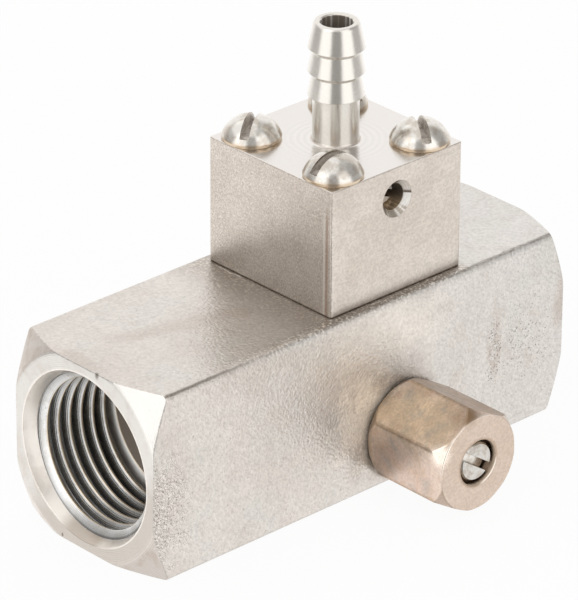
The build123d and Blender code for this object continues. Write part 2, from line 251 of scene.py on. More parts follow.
def mesh_object(name, points, faces, sharp=35):
    """A mesh from millimetre points, welded, facing outward and smooth but for its sharp edges."""
    mesh = bpy.data.meshes.new(name)
    mesh.from_pydata((np.asarray(points) * MM).tolist(), [], faces)
    shape = bmesh.new()
    shape.from_mesh(mesh)
    bmesh.ops.remove_doubles(shape, verts=shape.verts, dist=1e-7)
    bmesh.ops.dissolve_degenerate(shape, edges=shape.edges, dist=1e-8)
    bmesh.ops.recalc_face_normals(shape, faces=shape.faces)
    shape.to_mesh(mesh)
    shape.free()
    piece = bpy.data.objects.new(name, mesh)
    bpy.context.scene.collection.objects.link(piece)
    smooth(piece, sharp)
    return piece


def smooth(piece, sharp):
    """Smooth shading, apart from edges sharper than the angle."""
    mesh = piece.data
    mesh.shade_smooth()
    mesh.set_sharp_from_angle(angle=math.radians(sharp))


def loop_faces(rows, columns, closed=True):
    """The four-sided faces of a grid whose columns, and rows if closed, run all the way round."""
    last = rows if closed else rows - 1
    row, column = np.meshgrid(np.arange(last), np.arange(columns), indexing="ij")
    next_row, next_column = (row + 1) % rows, (column + 1) % columns
    quads = np.stack([row * columns + column, next_row * columns + column,
                      next_row * columns + next_column, row * columns + next_column], axis=-1)
    return quads.reshape(-1, 4).tolist()


def turned(name, line, outline, segments=96):
    """A turned piece, from an outline that starts and ends on its line."""
    outline = np.asarray(outline, float)
    angle = np.arange(segments) * 2 * math.pi / segments
    distance = np.repeat(outline[:, 0], segments)
    across = np.outer(outline[:, 1], np.cos(angle)).ravel()
    up = np.outer(outline[:, 1], np.sin(angle)).ravel()
    return mesh_object(name, line.points(distance, across, up), loop_faces(len(outline), segments, closed=False))


def swept(name, line, distance, radius, turns, sharp):
    """A section carried round a line, with one row of its points at each of these turns."""
    rows, columns = distance.shape
    angle = (turns * 2 * math.pi)[:, None]
    points = line.points(distance.ravel(), (radius * np.cos(angle)).ravel(), (radius * np.sin(angle)).ravel())
    ends = [tuple(range(columns)), tuple(reversed(range((rows - 1) * columns, rows * columns)))]
    return mesh_object(name, points, loop_faces(rows, columns, closed=False) + ends, sharp)


def section(sides, across_flats, corner_round, per_flat, per_corner, turn=0.0):
    """Points round a regular section with rounded corners, one flat facing the turn angle."""
    inner = across_flats / 2 - corner_round
    half_flat = inner * math.tan(math.pi / sides)
    points = []
    for side in range(sides):
        heading = math.radians(turn) + 2 * math.pi * side / sides
        out = np.array((math.cos(heading), math.sin(heading)))
        along = np.array((-out[1], out[0]))
        flat = np.linspace(-1, 1, per_flat + 1)
        points += [out * across_flats / 2 + along * half_flat * step for step in flat]
        for step in range(1, per_corner):
            bend = heading + 2 * math.pi / sides * step / per_corner
            points.append(out * inner + along * half_flat
                          + corner_round * np.array((math.cos(bend), math.sin(bend))))
    return np.array(points)


def section_distance(across, up, sides, across_flats, corner_round, turn=0.0):
    """How far points lie outside such a section."""
    radius = np.hypot(across, up)
    sector = 2 * math.pi / sides
    angle = np.mod(np.arctan2(up, across) - math.radians(turn) + sector / 2, sector) - sector / 2
    inner = across_flats / 2 - corner_round
    half_flat = inner * math.tan(math.pi / sides)
    outward = radius * np.cos(angle) - inner
    beyond = np.maximum(np.abs(radius * np.sin(angle)) - half_flat, 0)
    return np.where(outward > 0, np.hypot(outward, beyond), outward) - corner_round


def bored_bar(name, line, low, high, bore, sides, across_flats, corner_round, edge_round,
              turn=0.0, cone_r=None, cone_run=0.0, per_flat=36, per_corner=8, lengthways=24):
    """A bar of regular section, its ends turned to cones and its edges eased, about a bore that is
    given as (distance, radius) from the low end to the high one."""
    outline = section(sides, across_flats, corner_round, per_flat, per_corner, turn)
    reach = np.hypot(outline[:, 0], outline[:, 1])
    angle = np.arctan2(outline[:, 1], outline[:, 0])
    cone_r = cone_r or reach.max() + edge_round
    land_r = np.minimum(cone_r, reach)
    cone_length = (reach - land_r) * cone_run
    bore = np.asarray(bore, float)
    eased = edge_round * np.array((0.15, 0.5, 1.0, 1.7, 2.6))
    cone_slant = np.hypot(cone_length, reach - land_r)
    shares = np.array((0.04, 0.12, 0.24, 0.36, 0.46))
    on_cone = [np.minimum(step, cone_slant * share) for step, share in zip(eased, shares)]
    on_cone = on_cone + [cone_slant / 2] + [cone_slant - step for step in reversed(on_cone)]

    def end_rows(end, inner_r, inward):
        """From the bore's mouth over the end face and the cone to the side."""
        flat = np.full_like(reach, end)
        rows = [(flat, inner_r + share * (land_r - eased[-1] - inner_r)) for share in np.linspace(0, 1, 7)[:-1]]
        rows += [(flat, np.maximum(land_r - step, inner_r)) for step in eased[::-1]]
        for step in on_cone:
            part = np.divide(step, cone_slant, out=np.zeros_like(step), where=cone_slant > 1e-9)
            rows.append((end + inward * cone_length * part, land_r + (reach - land_r) * part))
        return rows + [(end + inward * (cone_length + step), reach) for step in eased]

    first = end_rows(low, bore[0, 1], 1)
    last = end_rows(high, bore[-1, 1], -1)
    inside = [(np.full_like(reach, distance), np.full_like(reach, radius)) for distance, radius in bore[:-1]]
    middle = [(share * first[-1][0] + (1 - share) * last[-1][0], reach)
              for share in np.linspace(0, 1, lengthways + 1)[1:-1]]
    loop = inside + last + middle + first[:0:-1]
    distance = np.array([row[0] for row in loop])
    radius = np.array([row[1] for row in loop])
    across, up = radius * np.cos(angle), radius * np.sin(angle)
    outer = np.zeros(distance.shape, bool)
    outer[len(inside):] = True

    def outside(distance, across, up):
        """Distance outside the eased bar."""
        walls = [section_distance(across, up, sides, across_flats, corner_round, turn),
                 distance - high, low - distance]
        if cone_run:
            tilt = math.hypot(1, cone_run)
            over = (np.hypot(across, up) - cone_r) * cone_run
            walls += [(distance - high + over) / tilt, (low - distance + over) / tilt]
        pushes = np.maximum(np.array(walls) + edge_round, 0)
        return np.sqrt((pushes ** 2).sum(axis=0)) - edge_round

    tiny = 1e-4
    for _ in range(8):
        gap = outside(distance, across, up)
        slope = np.array([(outside(distance + tiny, across, up) - gap) / tiny,
                          (outside(distance, across + tiny, up) - gap) / tiny,
                          (outside(distance, across, up + tiny) - gap) / tiny])
        size = np.maximum((slope ** 2).sum(axis=0), 0.25)
        step = np.where(outer & (gap > -edge_round * 0.99), gap / size, 0)
        distance, across, up = distance - step * slope[0], across - step * slope[1], up - step * slope[2]
    return mesh_object(name, line.points(distance.ravel(), across.ravel(), up.ravel()),
                       loop_faces(len(loop), len(reach)))


def settle(piece):
    """Turn a piece's modifiers into its mesh."""
    bpy.context.view_layer.update()
    mesh = bpy.data.meshes.new_from_object(piece.evaluated_get(bpy.context.evaluated_depsgraph_get()))
    piece.modifiers.clear()
    piece.data = mesh


def cut(piece, cutters, ease=0.0, sharp=35):
    """Take the cutters' shapes out of a piece, and ease its edges if asked."""
    for cutter in cutters:
        hole = piece.modifiers.new("hole", "BOOLEAN")
        hole.operation = "DIFFERENCE"
        hole.solver = "EXACT"
        hole.object = cutter
    settle(piece)
    for cutter in cutters:
        bpy.data.objects.remove(cutter)
    smooth(piece, sharp)
    if ease:
        edges = piece.modifiers.new("eased edges", "BEVEL")
        edges.width = ease * MM
        edges.segments = 2
        edges.limit_method = "ANGLE"
        edges.angle_limit = math.radians(sharp)
        piece.modifiers.new("even shading", "WEIGHTED_NORMAL").keep_sharp = True
        settle(piece)


def drill(name, line, start, end, radius, segments=48):
    """A round cutter between two distances along a line."""
    return turned(name, line, [(start, 0), (start, radius), (end, radius), (end, 0)], segments)


def slotted(piece, line, end, turn, width, depth, ease):
    """Cut a screwdriver slot across a piece's end, and ease the piece's edges."""
    half_length, above = 12, 6
    lengthwise = line.side * math.cos(math.radians(turn)) + line.third * math.sin(math.radians(turn))
    crosswise = np.cross(line.along, lengthwise)
    middle = line.origin + line.along * end
    points = [middle + along * lengthwise * half_length + across * crosswise * width / 2 + line.along * lift
              for along in (-1, 1) for across in (-1, 1) for lift in (-depth, above)]
    faces = [(0, 1, 3, 2), (4, 6, 7, 5), (0, 4, 5, 1), (2, 3, 7, 6), (0, 2, 6, 4), (1, 5, 7, 3)]
    cut(piece, [mesh_object("slot cutter", points, faces)], ease, sharp=30)


def belongs(piece, body, slot, material, *nodes):
    """Put a piece on its body, in place of the solids it stands for, with its finish."""
    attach(piece, body)
    if nodes:
        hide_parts(*nodes)
    dress(piece, material)


def dress(piece, material):
    """Give a piece or a solid its finish."""
    piece.data.materials.clear()
    piece.data.materials.append(material)


# ---------------------------------------- pieces

def steel_bar(material):
    """The bar: turned corners, two ports, the venturi bore and the drilled holes."""
    floor_x = end_x - port_depth
    chamber_in, chamber_out = block_x + chamber_length / 2, block_x - chamber_length / 2
    mouth_r = port_root_r + port_mouth_flare

    def port(side):
        """A port's wall from its mouth to its floor."""
        wall = [(0, mouth_r + 0.12), (0, mouth_r, 0.1), (port_mouth_depth, port_root_r, 0.25),
                (port_thread_end, port_root_r, 0.1), (port_thread_end + port_core_step, port_core_r, 0.2),
                (port_depth, port_core_r, 0.3), (port_depth, insert_r + 0.3)]
        return [(side * (end_x - row[0]), *row[1:]) for row in wall]

    passage = [(-floor_x, insert_r, 0.15), (chamber_out, insert_r, 0), (chamber_out, chamber_r, 0),
               (chamber_in, chamber_r, 0), (chamber_in, insert_r, 0), (floor_x, insert_r, 0.15)]
    bore = rounded(port(-1) + passage + port(1)[::-1], 0.1)
    bar = bored_bar("steel_bar", bar_line, -end_x, end_x, bore, sides=4, across_flats=bar_side,
                    corner_round=bar_edge_round, edge_round=0.16,
                    cone_r=end_land_r, cone_run=math.tan(math.radians(corner_angle)))

    gland_floor = face - gland_hole_depth
    bypass_y = face - bypass_inset
    pilot_floor = bypass_y - pilot_past_bypass
    bypass_line = Line((0, -bypass_y, stem_z), (1, 0, 0), (0, 1, 0))
    screw_floor = block_top - screw_length - screw_hole_spare
    holes = [turned("gland hole", stem_line,
                    [(face + 1, 0), (face + 1, gland_hole_r), (gland_floor, gland_hole_r),
                     (gland_floor, pilot_r), (pilot_floor, pilot_r), (pilot_floor - pilot_point, 0)]),
             drill("bypass", bypass_line, -floor_x - 1, floor_x + 1, bypass_r, 32),
             drill("suction hole", block_line, bar_mid, bar_side + 1, suction_r)]
    holes += [drill("screw hole", line, screw_floor, bar_side + 1, screw_r + 0.02) for line in screw_lines()]
    cut(bar, holes)
    belongs(bar, "injector", "blasted_steel", material, "body")


def screw_lines():
    """The four block screws' lines, each standing on z = 0."""
    half = screw_spacing / 2
    return [Line((block_x + side_x * half, side_y * half, 0), (0, 0, 1), (1, 0, 0))
            for side_x, side_y in ((-1, -1), (1, -1), (-1, 1), (1, 1))]


def pipe_thread(name, line, material):
    """The ridge between the turns of a port's taper thread."""
    per_turn = 96
    first = (thread_start_depth - first_crest_depth) / thread_pitch
    last = (thread_end_depth - first_crest_depth) / thread_pitch
    turns = np.arange(math.ceil(first * per_turn), math.floor(last * per_turn)) / per_turn
    depth = first_crest_depth + turns * thread_pitch
    full = thread_root_r - crest_r + (depth - first_crest_depth) * crest_taper
    lead_in = np.clip((depth - thread_start_depth) / thread_lead_in, 0, 1) ** 0.7
    run_out = np.clip((thread_end_depth - depth) / thread_run_out, 0, 1) ** 0.5
    height = (full * lead_in * run_out)[:, None]

    # One flank from root to crest: its share of the height, and how far it stands off the straight slope
    flank = [(0.0, 0.17), (0.03, 0.10), (0.09, 0.035), (0.2, 0.0), (0.5, 0.0), (0.8, 0.0), (0.92, 0.0),
             (0.975, -0.012), (1.0, -0.05)]
    side = np.array([-1] * len(flank) + [1] * len(flank))
    rise, toe = np.array(flank + flank[::-1]).T
    half_width = thread_crest_flat / 2 + height * (1 - rise) * math.tan(math.radians(thread_flank_angle)) + toe
    distance = depth[:, None] + side * half_width
    wall_r = thread_root_r + port_mouth_flare * np.clip(1 - distance / port_mouth_depth, 0, 1)
    thread = swept(name, line, distance, wall_r - height * rise, turns, sharp=25)
    belongs(thread, "injector", "blasted_steel", material)


def check_block(material):
    """The block with its barb, which are turned and milled from one piece."""
    bottom, groove_top = bar_side, bar_side + seal_groove_depth
    bore_foot, bore_step = block_top - barb_lower_bore_foot, barb_top - barb_bore_depth
    inside = [(bottom, seal_outer_r + 0.1), (bottom, seal_outer_r, 0), (groove_top, seal_outer_r, 0),
              (groove_top, seal_inner_r, 0), (bottom, seal_inner_r, 0), (bottom, cavity_r, 0),
              (cavity_roof, cavity_r, 0), (cavity_roof, passage_r, 0), (bore_foot, passage_r, 0),
              (bore_foot, barb_lower_bore_r, 0), (bore_step, barb_lower_bore_r, 0), (bore_step, barb_bore_r, 0)]
    barb = [(barb_top - barb_bore_lead, barb_bore_r, 0.05), (barb_top, barb_bore_r + barb_bore_lead, 0.06),
            (barb_top, barb_tip_r - 0.2, 0.1), (barb_top - 0.25, barb_tip_r, 0.2)]
    first_barb = block_top + barb_first
    for top in (first_barb + 2 * barb_pitch, first_barb + barb_pitch):
        barb += [(top, barb_r, 0.09), (top - (barb_r - barb_neck_r), barb_neck_r, 0.1)]
    barb += [(first_barb, barb_r, 0.09), (first_barb, barb_stem_r, 0.1),
             (block_top, barb_stem_r, barb_base_fillet), (block_top, barb_stem_r + 1.1)]
    block = bored_bar("check_block", block_line, bottom, block_top, rounded(inside + barb, 0.0), sides=4,
                      across_flats=block_side, corner_round=block_edge_round, edge_round=0.14,
                      per_flat=28, per_corner=5, lengthways=14)

    half = block_side / 2
    flare = (meter_mouth_r - meter_bore_r) / meter_mouth_depth
    meter_hole = [(half + 0.5, 0), (half + 0.5, meter_mouth_r + 0.5 * flare, 0),
                  (half - meter_mouth_depth, meter_bore_r, 0.1), (meter_seat_y, meter_bore_r, 0),
                  (meter_seat_y, meter_passage_r, 0), (meter_passage_end, meter_passage_r, 0),
                  (meter_passage_end, 0)]
    holes = [drill("screw hole", line, bottom - 1, block_top + 0.5, screw_hole_r) for line in screw_lines()]
    cut(block, holes + [turned("meter hole", meter_line, rounded(meter_hole, 0), 72)])
    belongs(block, "injector", "milled_steel", material, "injector_block")


def block_screw(number, line, slot_turn, material):
    """A round-headed slotted screw."""
    tip = block_top - screw_length
    dome = [(dome_z + dome_r * math.cos(bend), dome_r * math.sin(bend))
            for bend in np.linspace(math.asin(head_r / dome_r), 0, 22)]
    shank = [(tip, 0), (tip, screw_r - 0.4, 0), (tip + 0.4, screw_r, 0), (block_top, screw_r, 0.1),
             (block_top, head_r - 0.05, 0.08), (block_top + head_rim, head_r, 0.25), dome[3]]
    screw = turned(f"block_screw_head_{number}", line, np.vstack([rounded(shank, 0.0), dome[4:]]))
    slotted(screw, line, block_top + head_height, slot_turn, screw_slot_width, screw_slot_depth, ease=0.07)
    belongs(screw, "injector", "bright_screws", material, f"block_screw_{number}")


def hexagon_nut(material):
    """The gland nut, with both ends turned to a cone."""
    bore = rounded([(nut_back, gland_hole_r + 0.15), (nut_back, gland_hole_r, 0.12), (nut_inside, gland_hole_r, 0),
                    (nut_inside, nut_hole_r, 0), (nut_front, nut_hole_r, 0.14), (nut_front, nut_hole_r + 0.3)], 0)
    nut = bored_bar("hexagon_nut", stem_line, nut_back, nut_front, bore, sides=6, across_flats=nut_flats,
                    corner_round=0.15, edge_round=0.07, turn=nut_turn + 30,
                    cone_r=nut_face_r, cone_run=nut_cone_slope, per_flat=26, per_corner=5, lengthways=12)
    belongs(nut, "injector", "tarnished_nickel", material, "gland_nut")


def seal_groove(start, end, groove_r, outer_r):
    """The corners of a groove turned for a seal ring."""
    return [(start, outer_r, 0), (start, groove_r, 0), (end, groove_r, 0), (end, outer_r, 0)]


def needle_stem(material):
    """The bypass stem: a slotted end, a threaded length, a seal groove and a needle point."""
    tip = -stem_high[1]
    needle = [(tip, 0), (tip, needle_tip_r, 0.1), (tip + needle_taper, needle_r, 0.1), (needle_end, needle_r, 0)]
    neck = [(needle_end, stem_neck_r, 0.05), *seal_groove(*stem_groove, stem_neck_r),
            (stem_thread_start, stem_neck_r, 0)]
    head = [(stem_thread_start, stem_r, 0.05), (stem_end - 0.28, stem_r, 0.08),
            (stem_end, stem_r - 0.24, 0.05), (stem_end, 0)]
    stem = turned("needle_stem", stem_line, rounded(needle + neck + head, 0))
    slotted(stem, stem_line, stem_end, stem_slot_turn, stem_slot_width, stem_slot_depth, ease=0.06)
    belongs(stem, "bypass_stem", "bright_screws", material, "bypass_stem")


def metering_plug(material):
    """The metering screw in the block's front, with its slot and needle."""
    needle = [(meter_needle_tip, 0), (meter_needle_tip + meter_needle_taper, meter_needle_r, 0.1),
              (meter_needle_end, meter_needle_r, 0)]
    head = [(meter_needle_end, meter_r, 0.05), *seal_groove(*meter_groove, meter_r),
            (meter_end - 0.2, meter_r, 0.1), (meter_end, meter_r - 0.2, 0.08), (meter_end, 0)]
    plug = turned("metering_plug", meter_line, rounded(needle + head, 0), 64)
    slotted(plug, meter_line, meter_end, meter_slot_turn, meter_slot_size, meter_slot_size, ease=0.05)
    belongs(plug, "metering_screw", "bright_screws", material, "metering_screw")


def coil_spring(material):
    """The check spring, coiled over the full length of its solid."""
    low, high = corners("check_spring")
    length = high[2] - low[2]
    per_turn, around, clearance = 48, 12, 0.05
    turns = np.arange(round(spring_turns * per_turn) + 1) / per_turn
    round_wire = np.arange(around) * 2 * math.pi / around
    wire_r = spring_wire_r - 0.01
    rise = (length - 2 * spring_wire_r) * turns / spring_turns
    height = low[2] + spring_wire_r + rise[:, None] + wire_r * np.sin(round_wire)
    radius = high[0] - block_x - spring_wire_r + wire_r * np.cos(round_wire)
    spring = swept("coil_spring", block_line, height, radius, turns, sharp=50)
    belongs(spring, "injector", "spring_wire", material, "check_spring")
    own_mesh(spring)


# ---------------------------------------- shader sums

class Signal:
    """A node's output. A Python sum on it adds the node that works it out."""

    def __init__(self, nodes, socket):
        self.nodes = nodes
        self.socket = socket

    def sum(self, operation, first, second):
        kind = "Math"
        if any(isinstance(side, Signal) and side.socket.type == "VECTOR" for side in (first, second)):
            kind = "VectorMath"
            first, second = [(side,) * 3 if isinstance(side, (int, float)) else side for side in (first, second)]
        return self.nodes.add(kind, {"operation": operation}, {0: first, 1: second})

    def __add__(self, other):
        return self.sum("ADD", self, other)

    __radd__ = __add__

    def __sub__(self, other):
        return self.sum("SUBTRACT", self, other)

    def __rsub__(self, other):
        return self.sum("SUBTRACT", other, self)

    def __mul__(self, other):
        return self.sum("MULTIPLY", self, other)

    __rmul__ = __mul__

    def __truediv__(self, other):
        return self.sum("DIVIDE", self, other)

    def __rtruediv__(self, other):
        return self.sum("DIVIDE", other, self)

    def __pow__(self, other):
        return self.sum("POWER", self, other)

    def __neg__(self):
        return self.sum("MULTIPLY", self, -1)

    def __abs__(self):
        return self.sum("ABSOLUTE", self, 0)

    def over(self, low, high):
        """0 below low, 1 above high and smooth between. With low above high it falls instead."""
        start, end = (low, high) if low < high else (high, low)
        rise = self.nodes.add("MapRange", {"interpolation_type": "SMOOTHSTEP"},
                              {"Value": self, "From Min": start, "From Max": end})
        return rise if low < high else 1 - rise

    def wave(self, length):
        """A sine of this distance, from -1 to 1."""
        return self.nodes.add("Math", {"operation": "SINE"}, {0: self * (2 * math.pi / length)})


class Nodes:
    """The node tree of one finish or of the surroundings."""

    def __init__(self, owner):
        owner.use_nodes = True
        self.tree = owner.node_tree
        self.tree.nodes.clear()

    def add(self, kind, settings=None, values=None, output=0):
        """One node: its settings first, then the values or links of its sockets."""
        node = self.tree.nodes.new("ShaderNode" + kind)
        for name, setting in (settings or {}).items():
            if name == "stops":
                ramp = node.color_ramp
                while len(ramp.elements) < len(setting):
                    ramp.elements.new(0.5)
                for element, (place, colour) in zip(ramp.elements, setting):
                    element.position = place
                    element.color = (*colour, 1)
            else:
                setattr(node, name, setting)
        for name, value in (values or {}).items():
            if isinstance(value, Signal):
                self.tree.links.new(value.socket, node.inputs[name])
            elif isinstance(value, tuple) and node.inputs[name].type == "RGBA":
                node.inputs[name].default_value = (*value, 1)
            else:
                node.inputs[name].default_value = value
        return Signal(self, node.outputs[output]) if node.outputs else None

    def place(self):
        """Where a point is in the frame at rest, in millimetres."""
        return self.add("TexCoord", output="Object") * 1000.0

    def askew(self, place, *turns):
        """Places turned by these angles, so that noise does not line up with the faces."""
        return self.add("VectorRotate", {"rotation_type": "EULER_XYZ"}, {"Vector": place, "Rotation": turns})

    def split(self, vector):
        """The three numbers of a vector."""
        return [self.add("SeparateXYZ", values={0: vector}, output=axis) for axis in range(3)]

    def speckle(self, place, per_mm, detail=2.0, roughness=0.5, distortion=0.0):
        """Cloudy noise from 0 to 1 with this many lumps to a millimetre."""
        return self.add("TexNoise", values={"Vector": place, "Scale": per_mm, "Detail": detail,
                                            "Roughness": roughness, "Distortion": distortion})

    def blend(self, factor, first, second, kind="MIX"):
        """One colour going over into another."""
        return self.add("Mix", {"data_type": "RGBA", "blend_type": kind},
                        {0: factor, 6: first, 7: second}, output=2)

    def layers(self, colour, *coats):
        """A colour with others laid over it in turn, each given as its amount and then either red, green and
        blue from 0 to 255 or a colour that is worked out already."""
        for amount, *coat in coats:
            colour = self.blend(amount, colour, srgb(*coat) if len(coat) == 3 else coat[0])
        return colour

    def shade(self, colour, strength):
        """A colour made lighter or darker by a number."""
        return self.blend(1.0, colour, strength, "MULTIPLY")

    def spot(self, place, middle, reach, ragged):
        """1 at a place, falling to 0 at its reach in each direction, with a ragged outline."""
        offset = (place - middle) * tuple(1 / size for size in reach)
        distance = self.add("VectorMath", {"operation": "LENGTH"}, {0: offset}, output=1)
        return (distance + ragged).over(1.0, 0.3)

    def turned_r(self, first, second, centre=(0.0, 0.0)):
        """Distance from a line, given the two coordinates across it."""
        along, up = first - centre[0], second - centre[1]
        return (along * along + up * up) ** 0.5

    def streaks(self, first, second, distance, count):
        """Streaks that run along a line, given the two coordinates across it and the distance from it."""
        heading = self.add("CombineXYZ", values={0: first / distance, 1: second / distance})
        return self.speckle(heading, count, 2.0, 0.6)

    def metal(self, colour, roughness, height=None, reach=0.0, metallic=1.0):
        """The surface: a metal with its colour, roughness and relief of reach millimetres."""
        values = {"Base Color": colour, "Roughness": roughness, "Metallic": metallic}
        if height is not None:
            values["Normal"] = self.add("Bump", values={"Strength": 1.0, "Distance": reach * MM,
                                                        "Height": height})
        shader = self.add("BsdfPrincipled", values=values)
        self.add("OutputMaterial", values={"Surface": shader})


def finish(name):
    """A new material and its node tree."""
    material = bpy.data.materials.new(name)
    return material, Nodes(material)


def srgb(red, green, blue):
    """A picture colour from 0 to 255 as the linear colour that a shader takes."""
    return tuple(((part / 255 + 0.055) / 1.055) ** 2.4 for part in (red, green, blue))


# ---------------------------------------- finishes

def blasted_steel():
    """The bar: blasted sides, turned ends and the two ports."""
    material, n = finish("blasted_steel")
    place = n.place()
    x, y, z = n.split(place)
    radius = n.turned_r(y, z, (0.0, bar_mid))
    patch = n.speckle(place + (3.0, 9.0, 5.0), 0.42, 3.0, 0.6, 0.5)
    grain = n.speckle(n.askew(place, 0.5, 0.8, 0.3), 2.0, 1.0)
    facing = abs(n.split(n.add("NewGeometry", output="Normal"))[0])
    turned_end = facing.over(0.74, 0.82)
    top = z.over(bar_side - 0.3, bar_side - 0.05)
    cone = turned_end * radius.over(end_land_r - 0.12, end_land_r + 0.12)
    depth, past_root = end_x - abs(x), radius - port_root_r
    flare = past_root.over(1.02, 0.94) * depth.over(2.2, 1.9)
    bore = past_root.over(0.5, 0.2)
    deep = depth.over(13.28, 13.5) * bore
    last_crest = abs(depth - 13.3).over(0.14, 0.05) * bore
    past_thread = depth.over(12.4, 12.7) * bore * (1 - deep)
    rings = (radius + 0.04 * patch).wave(0.24)

    def nick(at_y, at_z, size):
        """A small dark dent at the outlet end."""
        return n.spot(place, (-end_x, at_y, at_z), (size, size, size * 1.6), (patch - 0.5) * 1.6)

    skin, blasted, marks, dulled = bar_sides(n, place, patch, grain, top, 1 - turned_end)
    colour = n.blend(turned_end, skin, bar_ends(n, y, z, patch, grain, cone, rings))
    nicks = nick(-2.6, 25.2, 0.5) + nick(4.2, 0.5, 0.2)
    colour = n.layers(colour, (bore, 196, 190, 182), (flare, port_flare(n, y, z, patch)),
                      (past_thread, 226, 224, 220), (deep * 0.9, 198, 188, 177),
                      (last_crest * 0.8, 224, 208, 184), (nicks * 0.75, 104, 94, 82))

    rough = (0.42 + 0.12 * patch - turned_end * 0.12 - top * 0.14) * (1 - flare) + flare * 0.26
    relief = blasted * (1 - turned_end * 0.75) * (1 - bore * 0.7) * (1 - flare * 0.9)
    relief = relief + rings * turned_end * (1 - bore) * 0.05 + marks
    n.metal(colour, rough, relief, 0.10, 1 - deep * 0.8 - flare * 0.5 - dulled)
    return material


